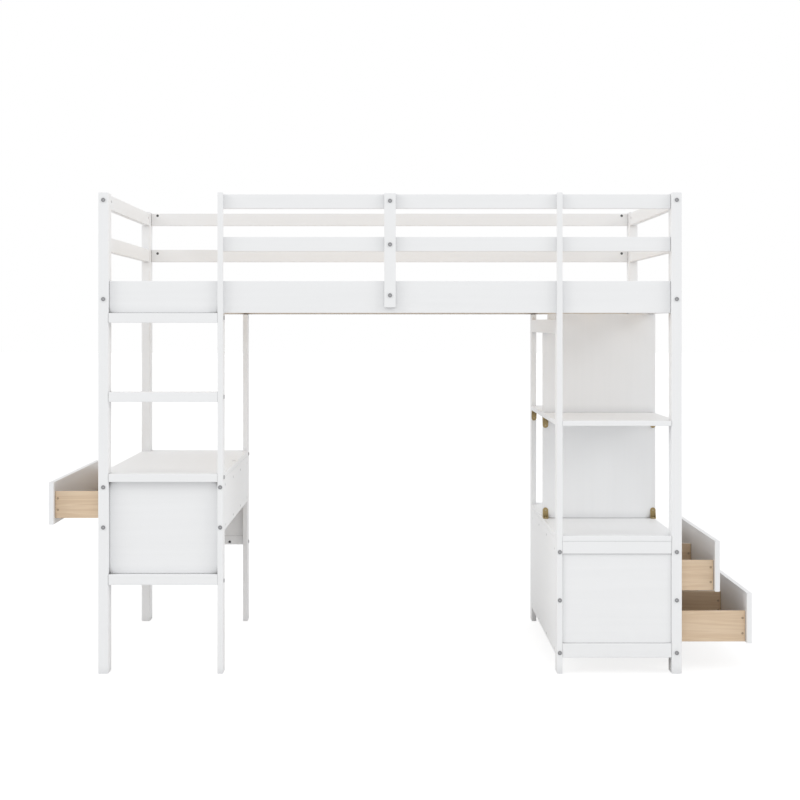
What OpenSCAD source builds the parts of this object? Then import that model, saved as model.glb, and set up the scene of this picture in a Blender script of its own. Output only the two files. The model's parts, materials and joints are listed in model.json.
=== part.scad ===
// Loft bed with a desk tower at the left end and a drawer cabinet with shelves at the right end.
// +X runs along the bed towards the cabinet, the ladder side faces -Y and the floor is Z = 0.
// Every piece is drawn about the middle of the bed, then place() moves it by shift_x, so that
// the origin is the middle of the footprint with the drawers standing partly open.

/* [Bed] */
// Length over the corner posts
bed_l = 2020; // [1990:5:2050]
// Width over the corner posts
bed_w = 1075; // [1055:5:1105]
// Height of the corner posts
bed_h = 1665; // [1663:1:1690]

/* [Posts] */
// Size of a corner post along the bed
post_x = 36; // [34:1:38]
// Size of every post across the bed
post_y = 65; // [64:1:70]
// Thickness of the inner posts
inner_post_x = 19; // [18:1:21]
// Length of each tower, from the outside of its corner posts
tower_l = 432; // [425:1:440]

// Radius of the eased edges on the corner posts
post_edge = 4; // [2:0.5:6]
// Radius of the eased edges on rails and boards
board_edge = 1.5; // [0.5:0.5:2]

/* [Rails] */
// Thickness of the long rails and the end rails
rail_t = 22; // [20:1:22]
// Depth of the long rails' outer faces behind the post faces
rail_set = 17; // [16:1:20]
// Distance from the end of the bed to the end rails
end_rail_set = 10; // [8:1:12]
// Underside of the main rails
rail_z = 1248; // [1246:1:1250]
// Height of the main rails
rail_h = 111; // [105:1:115]
// Underside of the lower guard rails
guard_low_z = 1462; // [1455:1:1466]
// Underside of the upper guard rails
guard_top_z = 1610; // [1606:1:1612]
// Height of a guard rail
guard_h = 50; // [46:1:50]
// Width of the centre straps
strap_w = 40; // [36:1:44]

/* [Slats] */
// Number of slats
slat_count = 12; // [10:1:14]
// Width of a slat
slat_w = 70; // [60:5:80]
// Thickness of a slat
slat_t = 18; // [15:1:18]
// Side of the square ledger strips under the slats
ledger_t = 24; // [20:1:25]

/* [Ladder and desk] */
// Depth of the ladder rungs and of the rails round the desk's ladder-side panel
rung_d = 60; // [55:1:62]
// Height of a ladder rung
rung_h = 34; // [30:1:34]
// Middle height of the upper rung
rung_high_z = 1231; // [1225:1:1231]
// Middle height of the lower rung
rung_low_z = 957; // [950:1:960]
// Height of the desk's upper surface
desk_z = 691; // [690:1:693]
// Thickness of boards
board_t = 18; // [17:1:18]
// Height of the rail above each desk end panel
desk_rail_h = 28; // [26:1:30]
// Underside of the rail below each desk end panel
desk_foot_z = 307; // [300:1:310]
// Height of the rail below each desk end panel
desk_foot_h = 36; // [34:1:40]
// Depth of the rails round the desk's back panel
back_rail_d = 30; // [28:1:32]
// Height of the apron under the inner edge of the desk
apron_h = 184; // [184:1:186]

/* [Cabinet and shelves] */
// Underside of the cabinet
cabinet_z = 56; // [54:1:56]
// Height of the cabinet's upper surface
cabinet_top_z = 476; // [476:1:478]
// Height of the rail above each cabinet end panel
cabinet_rail_h = 43; // [40:1:46]
// Height of the rail below each cabinet end panel
cabinet_foot_h = 49; // [45:1:52]
// Underside of the shelf
shelf_z = 857; // [850:1:865]
// Thickness of the upright shelf panel
shelf_panel_t = 15; // [15:1:18]
// Underside of the cross rail at the top of the shelf panel
cross_z = 1176; // [1170:1:1180]
// Height of the cross rail at the top of the shelf panel
cross_h = 50; // [46:1:52]

/* [Drawers] */
// Thickness of a drawer front
front_t = 18; // [17:1:18]
// How far a closed front stands out past the end of the bed
front_proud = 11; // [11:1:13]
// Length of a drawer box
box_l = 380; // [370:1:382]
// Thickness of a drawer box side
side_t = 12; // [11:1:13]
// Distance from the end of the front to the box side
box_inset = 24; // [24:1:25]
// How far the desk drawer stands open
desk_open = 174; // [0:1:300]
// How far the upper cabinet drawer stands open
upper_open = 134; // [0:1:300]
// How far the lower cabinet drawer stands open
lower_open = 246; // [0:1:300]
// Underside of the desk drawer front
desk_front_z = 507; // [506:1:509]
// Height of the desk drawer front
desk_front_h = 149; // [146:1:149]
// Underside of the upper cabinet drawer front
upper_front_z = 273; // [272:1:274]
// Height of the upper cabinet drawer front
upper_front_h = 178; // [174:1:178]
// Underside of the lower cabinet drawer front
lower_front_z = 92; // [91:1:93]
// Height of the lower cabinet drawer front
lower_front_h = 177; // [174:1:177]

/* [Hardware] */
// Radius of a bolt head
head_r = 7; // [6:0.5:7.5]
// Radius of a bolt shank
shank_r = 3; // [2.5:0.5:3]
// Radius of a barrel nut
nut_r = 5; // [4.5:0.5:5]
// Width of an angle bracket
bracket_w = 20; // [18:1:24]
// Length of an angle bracket's upright leg
bracket_h = 40; // [36:1:42]
// Radius of a knob
knob_r = 14; // [12:1:16]
// How far a knob stands out from its drawer front
knob_d = 22; // [20:1:26]

/* [Hidden] */
$fn = 32;

WHITE = [0.94, 0.94, 0.94];
PINE = [0.85, 0.75, 0.62];
BROWN = [0.5, 0.38, 0.22];
METAL = [0.62, 0.63, 0.65];

half_l = bed_l / 2;
half_w = bed_w / 2;
// Drawer fronts stand out by different amounts at the two ends
shift_x = (desk_open - lower_open) / 2;
inner_face = half_l - tower_l;
inner_back = inner_face + inner_post_x;
panel_back = inner_face + board_t;
post_face = half_l - post_x;
across = half_w - post_y;
end_rail_x = half_l - end_rail_set - rail_t;
// The bolts through the corner posts are in the middle of the posts, and so are the cross rails
bolt_x = half_l - post_x / 2;
bolt_inner_x = inner_face + inner_post_x / 2;
cross_x = bolt_x - board_t / 2;
rail_mid = rail_set + rail_t / 2;
rung_bolt = rung_d / 2;
back_bolt = back_rail_d / 2;
panel_t = 12;
thin_panel_t = 10;
// Depth of the panels behind the post faces: at the desk's front, its rear and the cabinet's ends
desk_panel_set = (rung_d - panel_t) / 2;
rear_panel_set = back_rail_d - panel_t;
cabinet_panel_set = 6;
cross_rail_h = 32;

// Middle heights of the cross rails above and below each drawer box
desk_cross_zs = [645, 506];
cabinet_cross_zs = [421, 254, 72];
// The barrel nuts at this height open to the inside of the cabinet
hidden_nut_z = cabinet_cross_zs[1];
end_bolt_zs = [1639, 1296];
side_bolt_zs = [rail_z + 30, rail_z + rail_h - 29];
guard_bolt_zs = [guard_low_z + 35, guard_top_z + 41];
strap_bolt_zs = [rail_z + 61, guard_low_z + 23, guard_top_z + 26];
strap_z0 = rail_z + 19;
rung_zs = [rung_high_z, rung_low_z];
desk_rail_zs = [desk_z - desk_rail_h / 2, desk_foot_z + 11];

// Cleats, inside the apron and the cabinet's side panel: underside, height and screw height
cleat_t = 18;
desk_cleats = [[desk_z - board_t - 36, 36, 645], [desk_z - board_t - apron_h + 5, 28, 506]];
cabinet_cleats = [[cabinet_top_z - board_t - 38, 38, 432], [cabinet_z, 24, 68]];

// Drawers are drawn closed at the right-hand end, then moved out, and mirrored for the desk
front_in = half_l + front_proud - front_t;
front_gap = 2;
front_w = across - front_gap;
box_w = front_w - box_inset;
box_back = front_in - box_l;
bottom_t = 6;
bottom_lift = 6;
divider_y = -12;
desk_box = [desk_front_z + 21, 94];
upper_box = [upper_front_z + 1, 106];
lower_box = [lower_front_z + 2, 108];
drawer_boxes = [[-1, desk_box], [1, upper_box], [1, lower_box]];

// Each box slides on two runners, between two guides that stand on them
run_clear = 0.5;
runner_h = 18;
runner_in = box_w - side_t - 4.5;
guide_h = 22;
guide_in = box_w + run_clear;

// Connectors: a drum in the box side and a pin from it into the drawer front
drum_r = 4;
drum_l = 9;
drum_set = 10;
pin_r = 2.5;
pin_front = 10;
pin_back = 3;
side_drum_low = 29;
side_drum_high = 25;
divider_drum_low = 36;
divider_drum_high = 36;

head_h = 2.4;
socket_r = 2.4;
bore_clear = 0.25;
nut_in = 26;
rung_nut_in = 57;
tip = 8;
nut_l = 12;
screw_r = 2;
screw_head_r = 4.5;
screw_head_h = 2.5;
screw_l = 30;
bracket_t = 4;
bracket_foot = 25;
near_bracket_shift = 4;

// Y of a point that lies d behind the front face (s = -1) or before the rear face (s = 1)
function in_y(s, d) = s * (half_w - d);
// X of a point that lies d inside the left end (s = -1) or the right end (s = 1)
function in_x(s, d) = s * (half_l - d);
function low(p, q) = [for (i = [0:2]) min(p[i], q[i])];
function high(p, q) = [for (i = [0:2]) max(p[i], q[i])];
// Whether the boxes with opposite corners a, b and p, q share any space
function meets(a, b, p, q) =
    let (l1 = low(a, b), h1 = high(a, b), l2 = low(p, q), h2 = high(p, q))
    min([for (i = [0:2]) min(h1[i] - l2[i], h2[i] - l1[i])]) > -0.01;
function bolt_end(b) = b[0] + b[1] * b[2];
function nut_at(b) = b[0] + b[1] * b[3];
// The connectors of a drawer box: [middle of the drum's outer face, direction into the wood]
function side_drums(box) =
    [for (s = [-1, 1], z = [box[0] + side_drum_low, box[0] + box[1] - side_drum_high])
        [[front_in - drum_set, s * box_w, z], [0, -s, 0]]];
function divider_drums(box) =
    [for (z = [box[0] + divider_drum_low, box[0] + box[1] - divider_drum_high])
        [[front_in - drum_set, divider_y - side_t / 2, z], [0, 1, 0]]];

// A bolt is [start on the outer face, direction, length, distance to its barrel nut or 0,
// direction from the nut to the open side of its hole, distance to that side]
bolts = concat(
    [for (sx = [-1, 1], sy = [-1, 1], z = end_bolt_zs)
        [[sx * bolt_x, in_y(sy, 0), z], [0, -sy, 0], post_y + nut_in + tip, post_y + nut_in,
         [-sx, 0, 0], bolt_x - end_rail_x]],
    [for (sx = [-1, 1], sy = [-1, 1], z = sx < 0 ? desk_cross_zs : cabinet_cross_zs)
        [[sx * bolt_x, in_y(sy, 0), z], [0, -sy, 0], post_y + nut_in + tip, post_y + nut_in,
         [-sx, 0, 0], board_t / 2]],
    [for (sx = [-1, 1], sy = [-1, 1], z = sx < 0 ? desk_cross_zs : cabinet_cross_zs)
        [[sx * bolt_inner_x, in_y(sy, 0), z], [0, -sy, 0], post_y + nut_in + tip, post_y + nut_in,
         z == hidden_nut_z ? [1, 0, 0] : [-sx, 0, 0],
         z == hidden_nut_z ? panel_back - bolt_inner_x : bolt_inner_x - inner_face]],
    [for (sx = [-1, 1], sy = [-1, 1], z = side_bolt_zs)
        [[in_x(sx, 0), in_y(sy, rail_mid), z], [-sx, 0, 0], post_x + nut_in + tip,
         post_x + nut_in, [0, -sy, 0], rail_t / 2]],
    [for (end = [[-1, 1], [1, -1], [1, 1]], z = guard_bolt_zs)
        [[in_x(end[0], 0), in_y(end[1], rail_mid), z], [-end[0], 0, 0], post_x + nut_in + tip,
         post_x + nut_in, [0, -end[1], 0], rail_t / 2]],
    [for (z = concat(rung_zs, desk_rail_zs))
        [[-half_l, in_y(-1, rung_bolt), z], [1, 0, 0], post_x + rung_nut_in + tip,
         post_x + rung_nut_in, [0, 1, 0], rung_d - rung_bolt]],
    [for (z = concat(rung_zs, desk_rail_zs))
        [[-inner_face, in_y(-1, rung_bolt), z], [-1, 0, 0], inner_post_x + rung_nut_in + tip,
         inner_post_x + rung_nut_in, [0, 1, 0], rung_d - rung_bolt]],
    [for (z = desk_rail_zs)
        [[-half_l, in_y(1, back_bolt), z], [1, 0, 0], post_x + rung_nut_in + tip,
         post_x + rung_nut_in, [0, -1, 0], back_rail_d - back_bolt]],
    [for (z = desk_rail_zs)
        [[-inner_face, in_y(1, back_bolt), z], [-1, 0, 0], inner_post_x + rung_nut_in + tip,
         inner_post_x + rung_nut_in, [0, -1, 0], back_rail_d - back_bolt]],
    [for (sy = [-1, 1], z = strap_bolt_zs)
        [[0, in_y(sy, 0), z], [0, -sy, 0], rail_set + rail_t - 3, 0, [0, 0, 0], 0]]
);
nut_bolts = [for (b = bolts) if (b[3] > 0) b];
desk_drums = side_drums(desk_box);
upper_drums = concat(side_drums(upper_box), divider_drums(upper_box));
lower_drums = concat(side_drums(lower_box), divider_drums(lower_box));

// A screw is [start on the board's face, direction]
screw_ys = [for (s = [-1, 1]) s * (across - nut_in) / 3];
screws = concat(
    [for (c = desk_cleats, y = screw_ys) [[-inner_face, y, c[2]], [-1, 0, 0]]],
    [for (c = cabinet_cleats, y = screw_ys) [[inner_face, y, c[2]], [1, 0, 0]]]
);

module place() translate([shift_x, 0, 0]) children();

// Turns a shape that points along +Z to point along d from p
module along(p, d) {
    turn = d[0] != 0 ? [0, 90 * d[0], 0] : d[1] != 0 ? [-90 * d[1], 0, 0] : [d[2] < 0 ? 180 : 0, 0, 0];
    translate(p) rotate(turn) children();
}

module block(p, q) translate(low(p, q)) cube(high(p, q) - low(p, q));

// The outline of a w by h rectangle whose corners are rounded with n short sides each
function rounded(w, h, r, n) =
    [for (c = [[w - r, h - r, 0], [r, h - r, 90], [r, r, 180], [w - r, r, 270]], k = [0:n])
        [c[0] + r * cos(c[2] + 90 * k / n), c[1] + r * sin(c[2] + 90 * k / n)]];

// A block between opposite corners p and q whose four edges along one axis are rounded
module rounded_bar(p, q, axis, r, n) {
    size = high(p, q) - low(p, q);
    translate(low(p, q)) {
        if (axis == 0)
            rotate([90, 0, 90]) linear_extrude(size[0]) polygon(rounded(size[1], size[2], r, n));
        if (axis == 1)
            translate([0, size[1], 0]) rotate([90, 0, 0])
                linear_extrude(size[1]) polygon(rounded(size[0], size[2], r, n));
        if (axis == 2)
            linear_extrude(size[2]) polygon(rounded(size[0], size[1], r, n));
    }
}

// A block with every edge rounded but the four short ones through its thickness
module eased_block(p, q, r = board_edge, n = 2) {
    size = high(p, q) - low(p, q);
    thin = size[0] == min(size) ? 0 : size[1] == min(size) ? 1 : 2;
    intersection() {
        rounded_bar(p, q, (thin + 1) % 3, r, n);
        rounded_bar(p, q, (thin + 2) % 3, r, n);
    }
}

// The holes that bolts, barrel nuts and screws need in the space between p and q
module holes(p, q) {
    for (b = bolts) {
        if (meets(p, q, b[0], bolt_end(b)))
            along(b[0] - b[1], b[1]) cylinder(r = shank_r + bore_clear, h = b[2] + 1 + bore_clear);
    }
    for (b = nut_bolts) {
        if (meets(p, q, nut_at(b), nut_at(b) + b[4] * b[5]))
            along(nut_at(b) - b[4] * nut_l / 2, b[4])
                cylinder(r = nut_r + bore_clear, h = nut_l / 2 + b[5] + 1);
    }
    for (s = screws) {
        if (meets(p, q, s[0], s[0] + s[1] * screw_l)) {
            along(s[0] - s[1], s[1]) cylinder(r = screw_r + bore_clear, h = screw_l + 2);
            along(s[0] - s[1], s[1]) cylinder(r = screw_head_r + bore_clear, h = screw_head_h + 1);
        }
    }
}

// A plain board between two opposite corners, drilled for the fasteners that pass through it
module board(p, q) {
    difference() {
        eased_block(p, q);
        holes(p, q);
    }
}

// A horizontal board over a tower, between x0 and x1 and y0 and y1, notched round the posts
module notched_board(sx, x1, y0, y1, z) {
    difference() {
        eased_block([sx * inner_face, y0, z], [sx * x1, y1, z + board_t]);
        for (sy = [-1, 1]) {
            block([sx * (inner_face - 1), in_y(sy, -1), z - 1],
                  [sx * inner_back, in_y(sy, post_y), z + board_t + 1]);
            block([sx * post_face, in_y(sy, -1), z - 1],
                  [in_x(sx, -1), in_y(sy, post_y), z + board_t + 1]);
        }
    }
}

module corner_post(sx, sy) {
    p = [in_x(sx, 0), in_y(sy, 0), 0];
    q = [in_x(sx, post_x), in_y(sy, post_y), bed_h];
    difference() {
        eased_block(p, q, post_edge, 3);
        holes(p, q);
    }
}

// An inner post. A tall one is halved above the main rail, so that its front half carries the
// guard rails that pass behind it.
module inner_post(sx, sy, tall) {
    p = [sx * inner_face, in_y(sy, 0), 0];
    q = [sx * inner_back, in_y(sy, post_y), tall ? bed_h : rail_z];
    difference() {
        eased_block(p, q);
        holes(p, q);
        if (tall)
            block([sx * (inner_face - 1), in_y(sy, rail_set), rail_z],
                  [sx * (inner_back + 1), in_y(sy, post_y + 1), bed_h + 1]);
    }
}

module long_rail(sy, x0, z, h) {
    board([x0, in_y(sy, rail_set), z], [post_face, in_y(sy, rail_set + rail_t), z + h]);
}

module end_rails(sx) {
    for (r = [[rail_z, rail_h], [guard_low_z, guard_h], [guard_top_z, guard_h]])
        board([sx * end_rail_x, -across, r[0]], [sx * (end_rail_x + rail_t), across, r[0] + r[1]]);
}

// A rail between a corner post and an inner post
module tower_rail(sx, sy, d, z, h) {
    board([sx * inner_back, in_y(sy, 0), z], [sx * post_face, in_y(sy, d), z + h]);
}

module tower_panel(sx, sy, set, t, z0, z1) {
    eased_block([sx * inner_back, in_y(sy, set), z0], [sx * post_face, in_y(sy, set + t), z1]);
}

module cross_rails(sx, zs, cleats) {
    for (z = zs)
        board([sx * cross_x, -across, z - cross_rail_h / 2],
              [sx * (cross_x + board_t), across, z + cross_rail_h / 2]);
    for (c = cleats)
        board([sx * panel_back, -runner_in, c[0]],
              [sx * (panel_back + cleat_t), runner_in, c[0] + c[1]]);
}

module angle_bracket() {
    leg = bracket_h - bracket_w / 2;
    translate([-bracket_w / 2, 0, 0]) cube([bracket_w, bracket_t, leg]);
    translate([0, bracket_t, leg]) rotate([90, 0, 0]) cylinder(r = bracket_w / 2, h = bracket_t);
    translate([-bracket_w / 2, bracket_t, 0])
        cube([bracket_w, bracket_foot - bracket_t - bracket_w / 2, bracket_t]);
    translate([0, bracket_foot - bracket_w / 2, 0]) cylinder(r = bracket_w / 2, h = bracket_t);
    for (s = [-1, 1])
        translate([s * (bracket_w / 2 - 1) - 1, bracket_t, bracket_t])
            rotate([90, 0, 90])
                linear_extrude(2) polygon([[0, 0], [bracket_w / 2, 0], [0, bracket_w]]);
}

// A bracket on a board's top (up = 1) or underside (up = -1), with its leg on a face towards dir
module bracket_at(x, y, z, dir, up) {
    translate([x, y, z]) scale_y(dir) scale_z(up) angle_bracket();
}

module scale_y(s) {
    if (s < 0) mirror([0, 1, 0]) children();
    else children();
}

module scale_z(s) {
    if (s < 0) mirror([0, 0, 1]) children();
    else children();
}

module to_end(sx, open) {
    place() mirror([sx < 0 ? 1 : 0, 0, 0]) translate([open, 0, 0]) children();
}

// The drum of a connector, or its hole where clear is over 0
module drum(d, clear) {
    along(d[0] - d[1] * (clear > 0 ? 1 : 0), d[1])
        cylinder(r = drum_r + clear, h = drum_l + (clear > 0 ? 1 : 0));
}

// The pin of a connector, or its hole where clear is over 0
module pin(d, clear) {
    along(d[0] + d[1] * side_t / 2 - [pin_back + clear, 0, 0], [1, 0, 0])
        cylinder(r = pin_r + clear, h = pin_back + drum_set + pin_front + 2 * clear);
}

module drawer_connectors(sx, open, drums) {
    color(METAL) to_end(sx, open)
        for (d = drums) {
            pin(d, 0);
            difference() {
                drum(d, 0);
                pin(d, bore_clear);
                along(d[0] - d[1], d[1])
                    translate([-drum_r, -0.6, 0]) cube([2 * drum_r, 1.2, 2]);
            }
        }
}

module drawer_front(sx, open, z, h, drums) {
    color(WHITE) to_end(sx, open)
        difference() {
            eased_block([front_in, -front_w, z], [front_in + front_t, front_w, z + h], 2, 3);
            for (d = drums) pin(d, bore_clear);
        }
}

module drawer_sides(sx, open, box) {
    color(PINE) to_end(sx, open)
        difference() {
            for (s = [-1, 1])
                eased_block([box_back, s * box_w, box[0]],
                            [front_in, s * (box_w - side_t), box[0] + box[1]]);
            for (d = side_drums(box)) {
                drum(d, bore_clear);
                pin(d, bore_clear);
            }
        }
}

module drawer_back(sx, open, box) {
    color(PINE) to_end(sx, open)
        eased_block([box_back, side_t - box_w, box[0]],
                    [box_back + side_t, box_w - side_t, box[0] + box[1]]);
}

module drawer_bottom(sx, open, box) {
    color(PINE) to_end(sx, open)
        block([box_back + side_t, side_t - box_w, box[0] + bottom_lift],
              [front_in, box_w - side_t, box[0] + bottom_lift + bottom_t]);
}

module drawer_divider(sx, open, box) {
    color(PINE) to_end(sx, open)
        difference() {
            eased_block([box_back + side_t, divider_y - side_t / 2, box[0] + bottom_lift + bottom_t],
                        [front_in, divider_y + side_t / 2, box[0] + box[1]]);
            for (d = divider_drums(box)) {
                drum(d, bore_clear);
                pin(d, bore_clear);
            }
        }
}

// A turned knob: a hollow neck that swells to a rounded head
module knob() {
    foot_r = 8;
    neck_r = 6;
    neck_h = 6;
    shoulder = 0.64 * knob_d;
    rotate_extrude()
        polygon(concat(
            [[0, 0]],
            [for (a = [0:30:90]) [foot_r - (foot_r - neck_r) * sin(a), neck_h * (1 - cos(a))]],
            [for (a = [22.5:22.5:90]) [neck_r + (knob_r - neck_r) * (1 - cos(a)),
                                       neck_h + (shoulder - neck_h) * sin(a)]],
            [for (a = [15:15:90]) [knob_r * cos(a), shoulder + (knob_d - shoulder) * sin(a)]]
        ));
}

module drawer_knobs(sx, open, z, h) {
    color(WHITE) to_end(sx, open)
        for (s = [-1, 1])
            along([front_in + front_t, s * front_w / 2, z + h / 2], [1, 0, 0]) knob();
}

module bolt(l) {
    difference() {
        union() {
            translate([0, 0, -head_h]) cylinder(r = head_r, h = head_h);
            cylinder(r = shank_r, h = l);
        }
        translate([0, 0, -head_h - 1]) cylinder(r = socket_r, h = head_h, $fn = 6);
    }
}

module post_front_left() { color(WHITE) place() corner_post(-1, -1); }
module post_front_right() { color(WHITE) place() corner_post(1, -1); }
module post_rear_left() { color(WHITE) place() corner_post(-1, 1); }
module post_rear_right() { color(WHITE) place() corner_post(1, 1); }
module ladder_stile() { color(WHITE) place() inner_post(-1, -1, true); }
module inner_post_front_right() { color(WHITE) place() inner_post(1, -1, true); }
module inner_post_rear_left() { color(WHITE) place() inner_post(-1, 1, false); }
module inner_post_rear_right() { color(WHITE) place() inner_post(1, 1, false); }

module side_rail_front() { color(WHITE) place() long_rail(-1, -post_face, rail_z, rail_h); }
module side_rail_rear() { color(WHITE) place() long_rail(1, -post_face, rail_z, rail_h); }

// The front guard rails stop at the ladder stile, which leaves the way in
module guard_rails_front() {
    color(WHITE) place()
        for (z = [guard_low_z, guard_top_z]) long_rail(-1, -inner_back, z, guard_h);
}

module guard_rails_rear() {
    color(WHITE) place()
        for (z = [guard_low_z, guard_top_z]) long_rail(1, -post_face, z, guard_h);
}

module end_rails_left() { color(WHITE) place() end_rails(-1); }
module end_rails_right() { color(WHITE) place() end_rails(1); }

module guard_straps() {
    color(WHITE) place()
        for (sy = [-1, 1])
            board([-strap_w / 2, in_y(sy, 0), strap_z0], [strap_w / 2, in_y(sy, rail_set), bed_h - 2]);
}

module slat_ledgers() {
    d = rail_set + rail_t;
    z = rail_z + 4;
    color(PINE) place()
        for (sy = [-1, 1])
            eased_block([-post_face + 10, in_y(sy, d), z],
                        [post_face - 10, in_y(sy, d + ledger_t), z + ledger_t]);
}

module slats() {
    z = rail_z + 4 + ledger_t;
    y = in_y(1, rail_set + rail_t + 1);
    pitch = (2 * post_face - 40 - slat_w) / (slat_count - 1);
    color(PINE) place()
        for (i = [0:slat_count - 1]) {
            x = -post_face + 20 + i * pitch;
            eased_block([x, -y, z], [x + slat_w, y, z + slat_t], 2 * board_edge);
        }
}

module ladder_rungs() {
    color(WHITE) place()
        for (z = rung_zs) tower_rail(-1, -1, rung_d, z - rung_h / 2, rung_h);
}

module desk_top() {
    color(WHITE) place()
        notched_board(-1, half_l, in_y(-1, rung_d), in_y(1, back_rail_d), desk_z - board_t);
}

module desk_front_rails() {
    color(WHITE) place() {
        tower_rail(-1, -1, rung_d, desk_z - desk_rail_h, desk_rail_h);
        tower_rail(-1, -1, rung_d, desk_foot_z, desk_foot_h);
    }
}

module desk_rear_rails() {
    color(WHITE) place() {
        tower_rail(-1, 1, back_rail_d, desk_z - desk_rail_h, desk_rail_h);
        tower_rail(-1, 1, back_rail_d, desk_foot_z, desk_foot_h);
    }
}

module desk_front_panel() {
    color(WHITE) place()
        tower_panel(-1, -1, desk_panel_set, panel_t, desk_foot_z + desk_foot_h,
                    desk_z - desk_rail_h);
}

module desk_rear_panel() {
    color(WHITE) place()
        tower_panel(-1, 1, rear_panel_set, panel_t, desk_foot_z + desk_foot_h,
                    desk_z - desk_rail_h);
}

module desk_apron() {
    z = desk_z - board_t;
    color(WHITE) place()
        board([-inner_face, -across, z - apron_h], [-panel_back, across, z]);
}

module desk_cross_rails() { color(WHITE) place() cross_rails(-1, desk_cross_zs, desk_cleats); }

module cabinet_top() {
    color(WHITE) place()
        notched_board(1, half_l - end_rail_set, -half_w, half_w, cabinet_top_z - board_t);
}

module cabinet_side_panel() {
    color(WHITE) place()
        board([inner_face, -across, cabinet_z], [panel_back, across, cabinet_top_z - board_t]);
}

module cabinet_end_rails() {
    color(WHITE) place()
        for (sy = [-1, 1]) {
            tower_rail(1, sy, back_rail_d, cabinet_top_z - board_t - cabinet_rail_h, cabinet_rail_h);
            tower_rail(1, sy, back_rail_d, cabinet_z, cabinet_foot_h);
        }
}

module cabinet_end_panels() {
    color(WHITE) place()
        for (sy = [-1, 1])
            tower_panel(1, sy, cabinet_panel_set, thin_panel_t, cabinet_z + cabinet_foot_h,
                        cabinet_top_z - board_t - cabinet_rail_h);
}

module cabinet_cross_rails() {
    color(WHITE) place() cross_rails(1, cabinet_cross_zs, cabinet_cleats);
}

// The runners lie between the cross rails at the end and the board at the inner side
module drawer_runners() {
    color(PINE) place()
        for (b = drawer_boxes, sy = [-1, 1]) {
            top = b[1][0] - run_clear;
            eased_block([b[0] * panel_back, sy * runner_in, top - runner_h],
                        [b[0] * cross_x, sy * across, top]);
        }
}

module drawer_guides() {
    color(PINE) place()
        for (b = drawer_boxes, sy = [-1, 1]) {
            foot = b[1][0] - run_clear;
            eased_block([b[0] * panel_back, sy * guide_in, foot],
                        [b[0] * (cross_x + board_t), sy * across, foot + guide_h]);
        }
}

// The upright panel in the middle of the shelf tower, notched round the cross rail
module shelf_panel() {
    color(WHITE) place()
        difference() {
            eased_block([inner_face, -shelf_panel_t / 2, cabinet_top_z],
                        [half_l - 6, shelf_panel_t / 2, rail_z]);
            block([inner_face - 1, -shelf_panel_t, cross_z],
                  [inner_back, shelf_panel_t, rail_z + 1]);
        }
}

module shelves() {
    color(WHITE) place() {
        notched_board(1, half_l - end_rail_set, -half_w, -shelf_panel_t / 2, shelf_z);
        notched_board(1, half_l - end_rail_set, shelf_panel_t / 2, half_w, shelf_z);
    }
}

module shelf_cross_rail() {
    color(WHITE) place()
        eased_block([inner_face, -across, cross_z], [inner_back, across, cross_z + cross_h]);
}

module angle_brackets() {
    panel_xs = [inner_face + bracket_w / 2, half_l - 6 - bracket_w / 2];
    post_xs = [inner_face + inner_post_x / 2, post_face + bracket_w / 2];
    panel_y = shelf_panel_t / 2;
    color(BROWN) place()
        for (s = [-1, 1]) {
            for (x = panel_xs) {
                bracket_at(x, s * panel_y, cabinet_top_z, s, 1);
                bracket_at(x, s * panel_y, shelf_z, s, -1);
            }
            for (x = post_xs)
                bracket_at(x + (s < 0 ? near_bracket_shift : 0), s * across, shelf_z, -s, -1);
        }
}

module bolts() { color(METAL) place() for (b = bolts) along(b[0], b[1]) bolt(b[2]); }

module barrel_nuts() {
    color(METAL) place()
        for (b = nut_bolts)
            difference() {
                along(nut_at(b) - b[4] * nut_l / 2, b[4]) cylinder(r = nut_r, h = nut_l);
                along(b[0], b[1]) cylinder(r = shank_r + bore_clear, h = b[2] + 1);
            }
}

module panel_screws() {
    color(METAL) place()
        for (s = screws) {
            along(s[0], s[1]) cylinder(r = screw_head_r, h = screw_head_h);
            along(s[0], s[1]) cylinder(r = screw_r, h = screw_l);
        }
}

module desk_drawer_front() {
    drawer_front(-1, desk_open, desk_front_z, desk_front_h, desk_drums);
}
module desk_drawer_sides() { drawer_sides(-1, desk_open, desk_box); }
module desk_drawer_back() { drawer_back(-1, desk_open, desk_box); }
module desk_drawer_bottom() { drawer_bottom(-1, desk_open, desk_box); }
module desk_drawer_knobs() { drawer_knobs(-1, desk_open, desk_front_z, desk_front_h); }
module desk_drawer_connectors() { drawer_connectors(-1, desk_open, desk_drums); }

module upper_drawer_front() {
    drawer_front(1, upper_open, upper_front_z, upper_front_h, upper_drums);
}
module upper_drawer_sides() { drawer_sides(1, upper_open, upper_box); }
module upper_drawer_back() { drawer_back(1, upper_open, upper_box); }
module upper_drawer_divider() { drawer_divider(1, upper_open, upper_box); }
module upper_drawer_bottom() { drawer_bottom(1, upper_open, upper_box); }
module upper_drawer_knobs() { drawer_knobs(1, upper_open, upper_front_z, upper_front_h); }
module upper_drawer_connectors() { drawer_connectors(1, upper_open, upper_drums); }

module lower_drawer_front() {
    drawer_front(1, lower_open, lower_front_z, lower_front_h, lower_drums);
}
module lower_drawer_sides() { drawer_sides(1, lower_open, lower_box); }
module lower_drawer_back() { drawer_back(1, lower_open, lower_box); }
module lower_drawer_divider() { drawer_divider(1, lower_open, lower_box); }
module lower_drawer_bottom() { drawer_bottom(1, lower_open, lower_box); }
module lower_drawer_knobs() { drawer_knobs(1, lower_open, lower_front_z, lower_front_h); }
module lower_drawer_connectors() { drawer_connectors(1, lower_open, lower_drums); }

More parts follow.
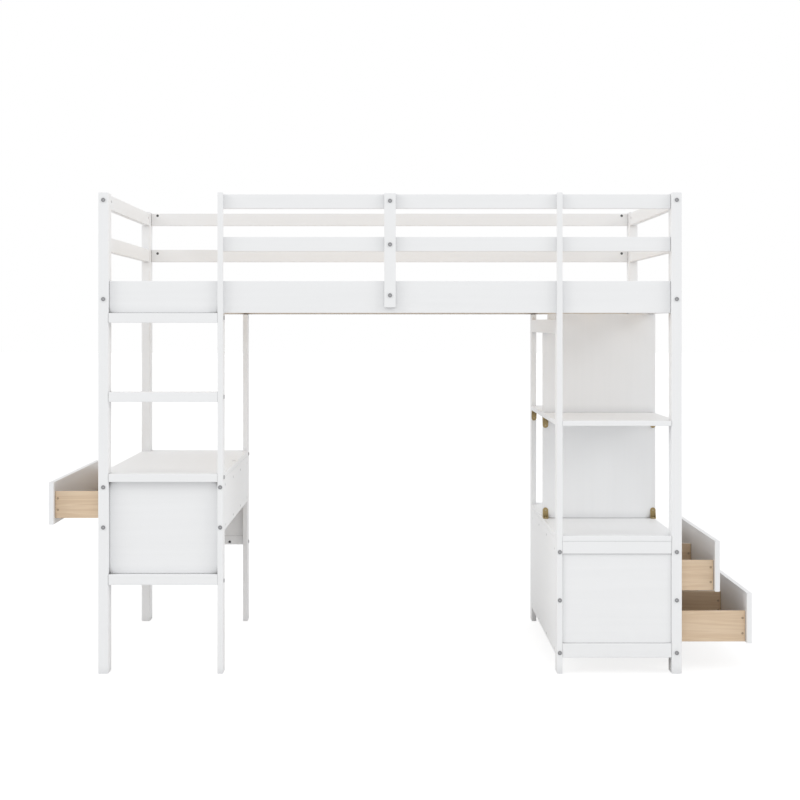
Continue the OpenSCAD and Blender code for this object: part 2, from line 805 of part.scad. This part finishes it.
post_front_left();
post_front_right();
post_rear_left();
post_rear_right();
ladder_stile();
inner_post_front_right();
inner_post_rear_left();
inner_post_rear_right();
side_rail_front();
side_rail_rear();
guard_rails_front();
guard_rails_rear();
end_rails_left();
end_rails_right();
guard_straps();
slat_ledgers();
slats();
ladder_rungs();
desk_top();
desk_front_rails();
desk_front_panel();
desk_rear_rails();
desk_rear_panel();
desk_apron();
desk_cross_rails();
cabinet_top();
cabinet_side_panel();
cabinet_end_rails();
cabinet_end_panels();
cabinet_cross_rails();
drawer_runners();
drawer_guides();
shelf_panel();
shelves();
shelf_cross_rail();
angle_brackets();
bolts();
barrel_nuts();
panel_screws();
desk_drawer_front();
desk_drawer_sides();
desk_drawer_back();
desk_drawer_bottom();
desk_drawer_knobs();
desk_drawer_connectors();
upper_drawer_front();
upper_drawer_sides();
upper_drawer_back();
upper_drawer_divider();
upper_drawer_bottom();
upper_drawer_knobs();
upper_drawer_connectors();
lower_drawer_front();
lower_drawer_sides();
lower_drawer_back();
lower_drawer_divider();
lower_drawer_bottom();
lower_drawer_knobs();
lower_drawer_connectors();
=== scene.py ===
"""Looks of the loft bed with desk: camera, studio, materials, eased edges and small hardware."""
import json
import math
import random

import bmesh
import bpy
from mathutils import Matrix, Vector


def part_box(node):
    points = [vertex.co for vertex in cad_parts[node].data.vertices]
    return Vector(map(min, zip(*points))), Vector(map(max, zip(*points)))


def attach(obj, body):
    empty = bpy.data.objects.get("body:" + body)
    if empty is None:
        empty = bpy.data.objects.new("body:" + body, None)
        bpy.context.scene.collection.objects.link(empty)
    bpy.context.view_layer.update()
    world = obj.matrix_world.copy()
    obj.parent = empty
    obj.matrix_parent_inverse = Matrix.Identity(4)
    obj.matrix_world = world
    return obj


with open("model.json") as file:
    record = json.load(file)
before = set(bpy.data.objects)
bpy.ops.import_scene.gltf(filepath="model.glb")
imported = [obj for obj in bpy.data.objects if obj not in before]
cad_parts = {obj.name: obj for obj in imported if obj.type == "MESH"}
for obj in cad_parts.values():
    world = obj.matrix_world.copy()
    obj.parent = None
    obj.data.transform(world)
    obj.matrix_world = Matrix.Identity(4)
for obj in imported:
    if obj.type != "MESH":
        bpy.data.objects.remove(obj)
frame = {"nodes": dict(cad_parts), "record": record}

MM = 0.001
X, Y, Z = 0, 1, 2
# Points closer than MERGE are one point; faces within NEAR of a solid's end belong to that end
MERGE = 1e-5
NEAR = 0.5 * MM
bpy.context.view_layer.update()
nodes = frame["nodes"]
scene = bpy.context.scene


def lo(node):
    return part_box(node)[0]


def hi(node):
    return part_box(node)[1]


BED_MID_X = (lo("post_front_left")[0] + hi("post_front_right")[0]) / 2
FRONT_Y = lo("post_front_left")[1]

# ---------------------------------------------------------------- camera

CAMERA_BACK = 5.723
CAMERA_SIDE = -0.0086
CAMERA_HEIGHT = 1.2148
CAMERA_LENS = 74.46
CAMERA_SHIFT = (0.0156, -0.0968)


def make_camera():
    """A level camera that looks squarely at the ladder side, a little left of the middle."""
    data = bpy.data.cameras.new("camera")
    data.lens = CAMERA_LENS
    data.sensor_width = 36
    data.shift_x, data.shift_y = CAMERA_SHIFT
    data.clip_end = 200
    cam = bpy.data.objects.new("camera", data)
    cam.location = (BED_MID_X + CAMERA_SIDE, FRONT_Y - CAMERA_BACK, CAMERA_HEIGHT)
    cam.rotation_euler = (math.radians(90), 0, 0)
    scene.collection.objects.link(cam)
    scene.camera = cam


make_camera()

# ---------------------------------------------------------------- node helpers

# Ambient occlusion samples for the painted shade in joints, grooves and corners
OCCLUSION_SHADE_SAMPLES = 8
# The Mix node's sockets for colours, by their place in its lists
MIX_FACTOR, MIX_A, MIX_B = 0, 6, 7
MIX_RESULT = 2


class Shader:
    """A material with a Principled shader, and short calls to add nodes to it."""

    def __init__(self, name, color, roughness, metallic=0.0):
        self.mat = bpy.data.materials.new(name)
        self.mat.use_nodes = True
        self.tree = self.mat.node_tree
        self.bsdf = self.tree.nodes["Principled BSDF"]
        self.bsdf.inputs["Base Color"].default_value = (*color, 1)
        self.bsdf.inputs["Roughness"].default_value = roughness
        self.bsdf.inputs["Metallic"].default_value = metallic

    def node(self, kind, **props):
        n = self.tree.nodes.new(kind)
        for k, v in props.items():
            setattr(n, k, v)
        return n

    def link(self, a, b):
        self.tree.links.new(a, b)

    def coords(self, scale=(1, 1, 1)):
        """Object coordinates, in metres, scaled."""
        tex = self.node("ShaderNodeTexCoord")
        mapping = self.node("ShaderNodeMapping")
        mapping.inputs["Scale"].default_value = scale
        self.link(tex.outputs["Object"], mapping.inputs["Vector"])
        return mapping.outputs["Vector"]

    def noise(self, vector, scale, detail=3.0, rough=0.5, distortion=0.0):
        n = self.node("ShaderNodeTexNoise")
        n.inputs["Scale"].default_value = scale
        n.inputs["Detail"].default_value = detail
        n.inputs["Roughness"].default_value = rough
        n.inputs["Distortion"].default_value = distortion
        self.link(vector, n.inputs["Vector"])
        return n.outputs["Fac"]

    def ramp(self, value, stops):
        n = self.node("ShaderNodeValToRGB")
        elements = n.color_ramp.elements
        while len(elements) < len(stops):
            elements.new(0.5)
        for e, (pos, color) in zip(elements, stops):
            e.position = pos
            e.color = (*color, 1)
        self.link(value, n.inputs["Fac"])
        return n.outputs["Color"]

    def to_range(self, value, low, high, from_low=0.0, from_high=1.0):
        n = self.node("ShaderNodeMapRange")
        n.inputs["From Min"].default_value = from_low
        n.inputs["From Max"].default_value = from_high
        n.inputs["To Min"].default_value = low
        n.inputs["To Max"].default_value = high
        self.link(value, n.inputs["Value"])
        return n.outputs["Result"]

    def mix(self, factor, a, b, blend="MIX"):
        n = self.node("ShaderNodeMix", data_type="RGBA", blend_type=blend)
        for value, key in ((factor, MIX_FACTOR), (a, MIX_A), (b, MIX_B)):
            if hasattr(value, "links"):
                self.link(value, n.inputs[key])
            elif key == MIX_FACTOR:
                n.inputs[key].default_value = value
            else:
                n.inputs[key].default_value = (*value, 1)
        return n.outputs[MIX_RESULT]

    def bump(self, height, distance, strength=1.0, after=None):
        n = self.node("ShaderNodeBump")
        n.inputs["Distance"].default_value = distance
        n.inputs["Strength"].default_value = strength
        self.link(height, n.inputs["Height"])
        if after is not None:
            self.link(after, n.inputs["Normal"])
        return n.outputs["Normal"]

    def painted_occlusion_shade(self, color, reach, crease_shade, corner):
        """The color with painted shade from ambient occlusion within reach: darkest in joints and
        grooves, less dark in open corners.
        """
        n = self.node("ShaderNodeAmbientOcclusion", samples=OCCLUSION_SHADE_SAMPLES)
        n.inputs["Distance"].default_value = reach
        shade = self.ramp(n.outputs["AO"], [(0.26, crease_shade), (0.50, corner), (0.98, (1, 1, 1))])
        return self.mix(1.0, color, shade, "MULTIPLY")

    def set(self, socket, value):
        if hasattr(value, "links"):
            self.link(value, self.bsdf.inputs[socket])
        else:
            self.bsdf.inputs[socket].default_value = value


def along_grain(axis, along, across):
    """Texture scale for a grain that runs along one axis."""
    return tuple(along if i == axis else across for i in range(3))


# ---------------------------------------------------------------- materials


def white_paint(name, axis):
    """Sprayed satin paint: a fine orange peel over wood whose grain just shows through, with
    painted shade in joints and recesses.
    """
    s = Shader(name, (0.90, 0.905, 0.91), 0.42)
    cloud = s.noise(s.coords(), 2.3, 4)
    grain = s.noise(s.coords(along_grain(axis, 2.0, 55.0)), 1.0, 5, 0.6, 0.35)
    tone = s.mix(cloud, (0.902, 0.906, 0.910), (0.918, 0.921, 0.924))
    shade = s.to_range(grain, 0.0, 1.0, 0.35, 0.7)
    paint = s.mix(0.3, tone, s.mix(shade, (0.95, 0.95, 0.95), (1, 1, 1)), "MULTIPLY")
    # Painted shade: the paint is darkened where shade falls in joints, grooves, recesses and
    # beside protruding posts
    s.set("Base Color", s.painted_occlusion_shade(paint, 0.035, (0.30, 0.295, 0.29), (0.89, 0.89, 0.895)))
    s.set("Roughness", s.to_range(cloud, 0.36, 0.50))
    peel = s.noise(s.coords(), 420, 2)
    fine = s.bump(peel, 0.00006, 0.5)
    s.set("Normal", s.bump(grain, 0.00035, 0.55, fine))
    s.set("Coat Weight", 0.12)
    s.set("Coat Roughness", 0.3)
    return s.mat


def pine(name, axis, light, dark, rough):
    """Planed softwood: wavering growth lines, fine fibres, a few small knots and painted shade in
    its joints.
    """
    s = Shader(name, light, rough)
    knot_cells = s.node("ShaderNodeTexVoronoi", feature="F1")
    knot_cells.inputs["Scale"].default_value = 1.0
    s.link(s.coords(along_grain(axis, 2.6, 6.0)), knot_cells.inputs["Vector"])
    knot = s.to_range(knot_cells.outputs["Distance"], 1.0, 0.0, 0.03, 0.10)
    swell = s.to_range(knot_cells.outputs["Distance"], 0.5, 0.0, 0.0, 0.45)
    rings = s.noise(s.coords(along_grain(axis, 1.6, 42.0)), 1.0, 3, 0.55, 0.9)
    bend = s.node("ShaderNodeMath", operation="MULTIPLY_ADD")
    s.link(swell, bend.inputs[0])
    bend.inputs[1].default_value = 0.6
    s.link(rings, bend.inputs[2])
    lines = s.node("ShaderNodeMath", operation="PINGPONG")
    s.link(bend.outputs[0], lines.inputs[0])
    lines.inputs[1].default_value = 0.11
    stripe = s.to_range(lines.outputs[0], 0.0, 1.0, 0.0, 0.11)
    fibre = s.noise(s.coords(along_grain(axis, 7.0, 420.0)), 1.0, 3, 0.7)
    wood = s.mix(stripe, light, dark)
    wood = s.mix(s.to_range(fibre, 0.0, 0.35), wood, dark)
    wood = s.mix(knot, wood, tuple(c * 0.38 for c in dark))
    cloud = s.noise(s.coords(), 3.1, 3)
    wood = s.mix(0.5, wood, s.mix(cloud, (0.9, 0.89, 0.87), (1, 1, 1)), "MULTIPLY")
    # Painted shade: the wood is darkened in joints and inside corners where shade falls
    s.set("Base Color", s.painted_occlusion_shade(wood, 0.012, (0.34, 0.29, 0.25), (0.88, 0.85, 0.82)))
    s.set("Roughness", s.to_range(fibre, rough - 0.06, rough + 0.08))
    s.set("Normal", s.bump(fibre, 0.00025, 0.6, s.bump(stripe, 0.0002, 0.4)))
    return s.mat


def thin_board():
    """Smooth brown fibreboard with a fine fleck."""
    s = Shader("drawer_base_board", (0.50, 0.37, 0.24), 0.6)
    fleck = s.noise(s.coords(), 260, 4, 0.7)
    cloud = s.noise(s.coords(), 7, 3)
    tone = s.ramp(fleck, [(0.3, (0.42, 0.30, 0.19)), (0.7, (0.58, 0.44, 0.30))])
    s.set("Base Color", s.mix(0.4, tone, s.mix(cloud, (0.8, 0.78, 0.75), (1, 1, 1)), "MULTIPLY"))
    s.set("Roughness", s.to_range(cloud, 0.52, 0.66))
    s.set("Normal", s.bump(fleck, 0.0001, 0.5))
    return s.mat


def brown_plastic():
    """Moulded matt plastic with a spark-eroded grain and painted shade in its creases."""
    s = Shader("bracket_plastic", (0.38, 0.28, 0.12), 0.5)
    grain = s.noise(s.coords(), 900, 2)
    flow = s.noise(s.coords(), 30, 3)
    tone = s.mix(flow, (0.34, 0.25, 0.10), (0.42, 0.31, 0.14))
    # Painted shade: the plastic is darkened in creases and inside corners where shade falls
    s.set("Base Color", s.painted_occlusion_shade(tone, 0.008, (0.5, 0.48, 0.45), (0.8, 0.8, 0.78)))
    s.set("Roughness", s.to_range(flow, 0.42, 0.58))
    s.set("Normal", s.bump(grain, 0.00008, 0.6))
    return s.mat


def metal(name, color, rough):
    """Plated or dark steel with faint drawing lines."""
    s = Shader(name, color, rough, 1.0)
    lines = s.noise(s.coords(along_grain(X, 20.0, 900.0)), 1.0, 2)
    bloom = s.noise(s.coords(), 60, 3)
    dull = tuple(c * 0.82 for c in color)
    s.set("Base Color", s.mix(bloom, dull, color))
    s.set("Roughness", s.to_range(bloom, rough - 0.08, rough + 0.12))
    s.set("Normal", s.bump(lines, 0.00005, 0.4))
    return s.mat


WHITE = {
    X: white_paint("paint_along_x", X),
    Y: white_paint("paint_along_y", Y),
    Z: white_paint("paint_along_z", Z),
}
PALE_PINE = (0.79, 0.62, 0.43)
DARK_PINE = (0.65, 0.47, 0.29)
LACQUER_PINE = (0.87, 0.69, 0.50)
LACQUER_DARK = (0.76, 0.57, 0.39)
PINE_X = pine("pine_along_x", X, PALE_PINE, DARK_PINE, 0.6)
PINE_Y = pine("pine_along_y", Y, PALE_PINE, DARK_PINE, 0.6)
BOX_X = pine("drawer_pine_along_x", X, LACQUER_PINE, LACQUER_DARK, 0.42)
BOX_Y = pine("drawer_pine_along_y", Y, LACQUER_PINE, LACQUER_DARK, 0.42)
BASE = thin_board()
PLASTIC = brown_plastic()
BOLT = metal("bolt_zinc", (0.41, 0.41, 0.42), 0.42)
# Dark steel for nuts and screws: partly their own dark tone, partly painted shade standing in for
# the shadowed holes they sit in
NUT_STEEL_WITH_HOLE_SHADE = metal("dark_steel_with_painted_hole_shade", (0.20, 0.20, 0.205), 0.6)
# Pale steel whose lightness is a painted highlight: the bright reflection at the bottom of each
# bolt's socket
SOCKET_HIGHLIGHT_STEEL = metal("socket_painted_highlight_steel", (0.86, 0.86, 0.87), 0.3)
YELLOW_ZINC = metal("yellow_zinc", (0.62, 0.53, 0.36), 0.36)
BROWN_ZINC = metal("brown_zinc", (0.58, 0.44, 0.31), 0.48)

# The painted nodes whose grain runs along Z or Y; the others' runs along X
ALONG_Z = ("post_front_left", "post_front_right", "post_rear_left", "post_rear_right",
           "ladder_stile", "inner_post_front_right", "inner_post_rear_left",
           "inner_post_rear_right", "guard_straps", "shelf_panel")
ALONG_Y = ("end_rails_left", "end_rails_right", "desk_top", "desk_apron", "desk_cross_rails",
           "cabinet_top", "cabinet_side_panel", "cabinet_cross_rails", "shelves",
           "shelf_cross_rail", "desk_drawer_front", "upper_drawer_front", "lower_drawer_front")


def material_of(node, slot):
    if slot in ("white_paint", "knob"):
        return WHITE[Z if node in ALONG_Z else Y if node in ALONG_Y else X]
    if slot == "raw_pine":
        return PINE_Y if node == "slats" else PINE_X
    if slot == "drawer_pine":
        return BOX_Y if node.endswith("_back") else BOX_X
    if node.endswith("_connectors"):
        return BROWN_ZINC
    if slot == "bolt_steel":
        return BOLT if node == "bolts" else NUT_STEEL_WITH_HOLE_SHADE
    return {"drawer_base": BASE, "brown_plastic": PLASTIC}[slot]


def assign(obj, mat):
    if not obj.material_slots:
        obj.data.materials.append(mat)
    for s in obj.material_slots:
        s.link = "OBJECT"
        s.material = mat


SLOT_OF = {p["node"]: p["material_slot"] for p in frame["record"]["subparts"]}
for node_name, node_obj in nodes.items():
    assign(node_obj, material_of(node_name, SLOT_OF[node_name]))

# ---------------------------------------------------------------- eased edges on the brackets

BRACKET_EASE = 0.8


def ease_edges(obj, width_mm):
    """Rounds a CAD node's sharp edges with modifiers, and leaves its mesh as it is."""
    weld = obj.modifiers.new("weld", "WELD")
    weld.merge_threshold = MERGE
    bevel = obj.modifiers.new("eased_edges", "BEVEL")
    bevel.width = width_mm * MM
    bevel.segments = 2
    bevel.limit_method = "ANGLE"
    bevel.angle_limit = math.radians(40)


ease_edges(nodes["angle_brackets"], BRACKET_EASE)

# ---------------------------------------------------------------- small hardware

HEAD_SIDES = 16
# The outlines of turned heads: (radius, height) in mm from the seat at the rim to near the middle
PAN_HEAD = [(2.9, 0.0), (3.1, 0.4), (3.0, 1.1), (2.5, 1.7), (1.8, 1.95), (1.0, 2.05)]
FLAT_HEAD = [(3.9, 0.0), (4.0, 0.15), (3.8, 0.3), (2.8, 0.32), (1.9, 0.34), (1.0, 0.35)]
SOCKET_FLOOR = [(2.0, 0.0), (2.0, 0.35), (1.3, 0.15), (0.6, 0.08)]
COVER_CAP = [(7.4, 0.0), (7.8, 0.6), (7.3, 1.7), (5.6, 2.5), (2.8, 2.8)]
# Depths of the cross recesses, and of the hexagon socket in a bolt's head; a cross takes up
# CROSS_REACH of its head's radius
CROSS_REACH = 0.65
PAN_CROSS = 1.2
FLAT_CROSS = 0.2
SOCKET_DEPTH = 1.4
# Thickness of a bracket's legs, and places of the other small parts in from their boards' edges
BRACKET_T = 4.0
SLAT_SCREW_IN = 11.0
COVER_CAP_IN = 14.0


def box_of(points):
    """The low and the high corner of the box round the points."""
    return (Vector([min(p[i] for p in points) for i in range(3)]),
            Vector([max(p[i] for p in points) for i in range(3)]))


def solids_of(node):
    """The separate solids of a CAD node, each as a list of its corner points in the frame."""
    bm = bmesh.new()
    bm.from_mesh(nodes[node].data)
    bmesh.ops.remove_doubles(bm, verts=bm.verts, dist=MERGE)
    unseen = set(bm.verts)
    solids = []
    for start in bm.verts:
        if start not in unseen:
            continue
        unseen.remove(start)
        to_visit = [start]
        points = []
        while to_visit:
            vert = to_visit.pop()
            points.append(nodes[node].matrix_world @ vert.co)
            near = {e.other_vert(vert) for e in vert.link_edges} & unseen
            unseen -= near
            to_visit.extend(near)
        solids.append(points)
    bm.free()
    return solids


def add_head(bm, place, way, outline, cross, turn):
    """Adds a turned head on place, pointing along way, with a cross recess that deep if over 0."""
    seat = Matrix.Translation(place) @ way.to_track_quat("Z", "Y").to_matrix().to_4x4()
    seat = seat @ Matrix.Rotation(turn, 4, "Z")
    cross_reach = CROSS_REACH * outline[0][0]
    rings = []
    for radius, height in outline:
        ring = []
        for k in range(HEAD_SIDES):
            angle = 2 * math.pi * k / HEAD_SIDES
            sunk = cross if k % (HEAD_SIDES // 4) == 0 and radius < cross_reach else 0
            point = Vector((radius * math.cos(angle), radius * math.sin(angle), height - sunk))
            ring.append(bm.verts.new(seat @ (point * MM)))
        rings.append(ring)
    middle = bm.verts.new(seat @ Vector((0, 0, (outline[-1][1] - cross) * MM)))
    for k in range(HEAD_SIDES):
        n = (k + 1) % HEAD_SIDES
        for low, high in zip(rings, rings[1:]):
            bm.faces.new((low[k], low[n], high[n], high[k]))
        bm.faces.new((rings[-1][k], rings[-1][n], middle))
    bm.faces.new(list(reversed(rings[0])))


def make_heads(name, outline, cross, places, mat):
    """One piece on the bed frame, with a head at each (place, way)."""
    turns = random.Random(name)
    bm = bmesh.new()
    for place, way in places:
        add_head(bm, place, way, outline, cross, turns.uniform(0, math.pi / 2))
    mesh = bpy.data.meshes.new(name)
    bm.to_mesh(mesh)
    bm.free()
    mesh.polygons.foreach_set("use_smooth", [True] * len(mesh.polygons))
    piece = bpy.data.objects.new(name, mesh)
    scene.collection.objects.link(piece)
    assign(piece, mat)
    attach(piece, "bed_frame")


def bracket_screw_places():
    """One screw in the upright leg and one in the foot of each angle bracket."""
    places = []
    for points in solids_of("angle_brackets"):
        low, high = box_of(points)
        middle = (low + high) / 2
        end_radius = (high.x - low.x) / 2
        top_ys = [p.y for p in points if p.z > high.z - NEAR]
        up = 1 if max(top_ys) - min(top_ys) < 2 * BRACKET_T * MM else -1
        leg_end = high.z if up > 0 else low.z
        foot_face = (low.z if up > 0 else high.z) + up * BRACKET_T * MM
        leg_ys = [p.y for p in points if abs(p.z - leg_end) < NEAR]
        out = 1 if middle.y > sum(leg_ys) / len(leg_ys) else -1
        leg_face = max(leg_ys) if out > 0 else min(leg_ys)
        foot_end = high.y if out > 0 else low.y
        in_leg = Vector((middle.x, leg_face, leg_end - up * end_radius))
        in_foot = Vector((middle.x, foot_end - out * end_radius, foot_face))
        places.append((in_leg, Vector((0, out, 0))))
        places.append((in_foot, Vector((0, 0, up))))
    return places


def slat_screw_places():
    """One screw near each end of each slat."""
    places = []
    for points in solids_of("slats"):
        low, high = box_of(points)
        for y in (low.y + SLAT_SCREW_IN * MM, high.y - SLAT_SCREW_IN * MM):
            places.append((Vector(((low.x + high.x) / 2, y, high.z)), Vector((0, 0, 1))))
    return places


def socket_floor_places():
    """The bottom of the socket in each bolt's head, which is at the bolt's wider end."""
    places = []
    for points in solids_of("bolts"):
        low, high = box_of(points)
        size = high - low
        along = max(range(3), key=lambda i: size[i])
        middle = (low + high) / 2
        widths = {}
        for end in (low[along], high[along]):
            tip_low, tip_high = box_of([p for p in points if abs(p[along] - end) < NEAR])
            widths[end] = (tip_high - tip_low).length
        head_end = max(widths, key=widths.get)
        way = Vector((0, 0, 0))
        way[along] = 1 if head_end == high[along] else -1
        middle[along] = head_end - way[along] * SOCKET_DEPTH * MM
        places.append((middle, way))
    return places


def cover_cap_place():
    """On the desk top over the apron, in the middle of its inner edge."""
    low, high = Vector(lo("desk_top")), Vector(hi("desk_top"))
    place = Vector((high.x - COVER_CAP_IN * MM, (low.y + high.y) / 2, high.z))
    return [(place, Vector((0, 0, 1)))]


make_heads("bracket_screws", PAN_HEAD, PAN_CROSS, bracket_screw_places(), YELLOW_ZINC)
make_heads("slat_screws", FLAT_HEAD, FLAT_CROSS, slat_screw_places(), YELLOW_ZINC)
# The socket floors carry a painted highlight in pale steel
make_heads("bolt_socket_floors", SOCKET_FLOOR, 0, socket_floor_places(), SOCKET_HIGHLIGHT_STEEL)
make_heads("desk_top_cap", COVER_CAP, 0, cover_cap_place(), WHITE[Z])

# ---------------------------------------------------------------- studio

FLOOR_HALF = 60
FLOOR_DROP = 0.5 * MM
FLOOR_TONE = 0.22
FLOOR_MOTTLE = 0.005
FLOOR_GLOW = 0.84
FLOOR_BOUNCE = 0.77
SURROUND = 0.85
SURROUND_TINT = (0.985, 0.992, 1.0)
SIDE_LIGHTS = {"left": ((-1.5, -0.6, 0.8), 0.64), "right": ((1.5, -0.6, 0.8), 0.60)}
SIDE_SPREAD = 25


def make_floor():
    """A pale floor that reads white to the camera and bounces somewhat less light than that."""
    s = Shader("stage_floor", (FLOOR_TONE,) * 3, 0.9)
    cloud = s.noise(s.coords(), 1.2, 2)
    darker = (FLOOR_TONE - FLOOR_MOTTLE,) * 3
    lighter = (FLOOR_TONE + FLOOR_MOTTLE,) * 3
    s.set("Base Color", s.mix(cloud, darker, lighter))
    s.set("Emission Color", (1, 1, 1, 1))
    s.set("Emission Strength", FLOOR_GLOW)
    matt = s.node("ShaderNodeBsdfDiffuse")
    matt.inputs["Color"].default_value = (FLOOR_BOUNCE, FLOOR_BOUNCE, FLOOR_BOUNCE, 1)
    pick = s.node("ShaderNodeMixShader")
    s.link(s.node("ShaderNodeLightPath").outputs["Is Camera Ray"], pick.inputs[0])
    s.link(matt.outputs[0], pick.inputs[1])
    s.link(s.bsdf.outputs[0], pick.inputs[2])
    s.link(pick.outputs[0], s.tree.nodes["Material Output"].inputs["Surface"])
    mesh = bpy.data.meshes.new("floor")
    r = FLOOR_HALF
    mesh.from_pydata([(-r, -r, 0), (r, -r, 0), (r, r, 0), (-r, r, 0)], [], [(0, 1, 2, 3)])
    floor = bpy.data.objects.new("floor", mesh)
    floor.location.z = -FLOOR_DROP
    scene.collection.objects.link(floor)
    floor.data.materials.append(s.mat)


def make_surround():
    """A white surround that gives an even fill, and looks pure white behind the object."""
    world = bpy.data.worlds.new("studio")
    world.use_nodes = True
    tree = world.node_tree
    fill = tree.nodes["Background"]
    fill.inputs["Color"].default_value = (*SURROUND_TINT, 1)
    fill.inputs["Strength"].default_value = SURROUND
    seen = tree.nodes.new("ShaderNodeBackground")
    seen.inputs["Color"].default_value = (1, 1, 1, 1)
    ray = tree.nodes.new("ShaderNodeLightPath")
    pick = tree.nodes.new("ShaderNodeMixShader")
    tree.links.new(ray.outputs["Is Camera Ray"], pick.inputs[0])
    tree.links.new(fill.outputs[0], pick.inputs[1])
    tree.links.new(seen.outputs[0], pick.inputs[2])
    tree.links.new(pick.outputs[0], tree.nodes["World Output"].inputs["Surface"])
    scene.world = world


def soft_sun(name, place, strength, spread):
    """An even light from one side of the sky, as wide as spread degrees."""
    data = bpy.data.lights.new(name, "SUN")
    data.energy = strength
    data.angle = math.radians(spread)
    lamp = bpy.data.objects.new(name, data)
    lamp.rotation_euler = (-Vector(place)).to_track_quat("-Z", "Y").to_euler()
    scene.collection.objects.link(lamp)


make_floor()
make_surround()
for side, (place, strength) in SIDE_LIGHTS.items():
    soft_sun(f"light_from_{side}", place, strength, SIDE_SPREAD)
scene.view_settings.view_transform = "Standard"
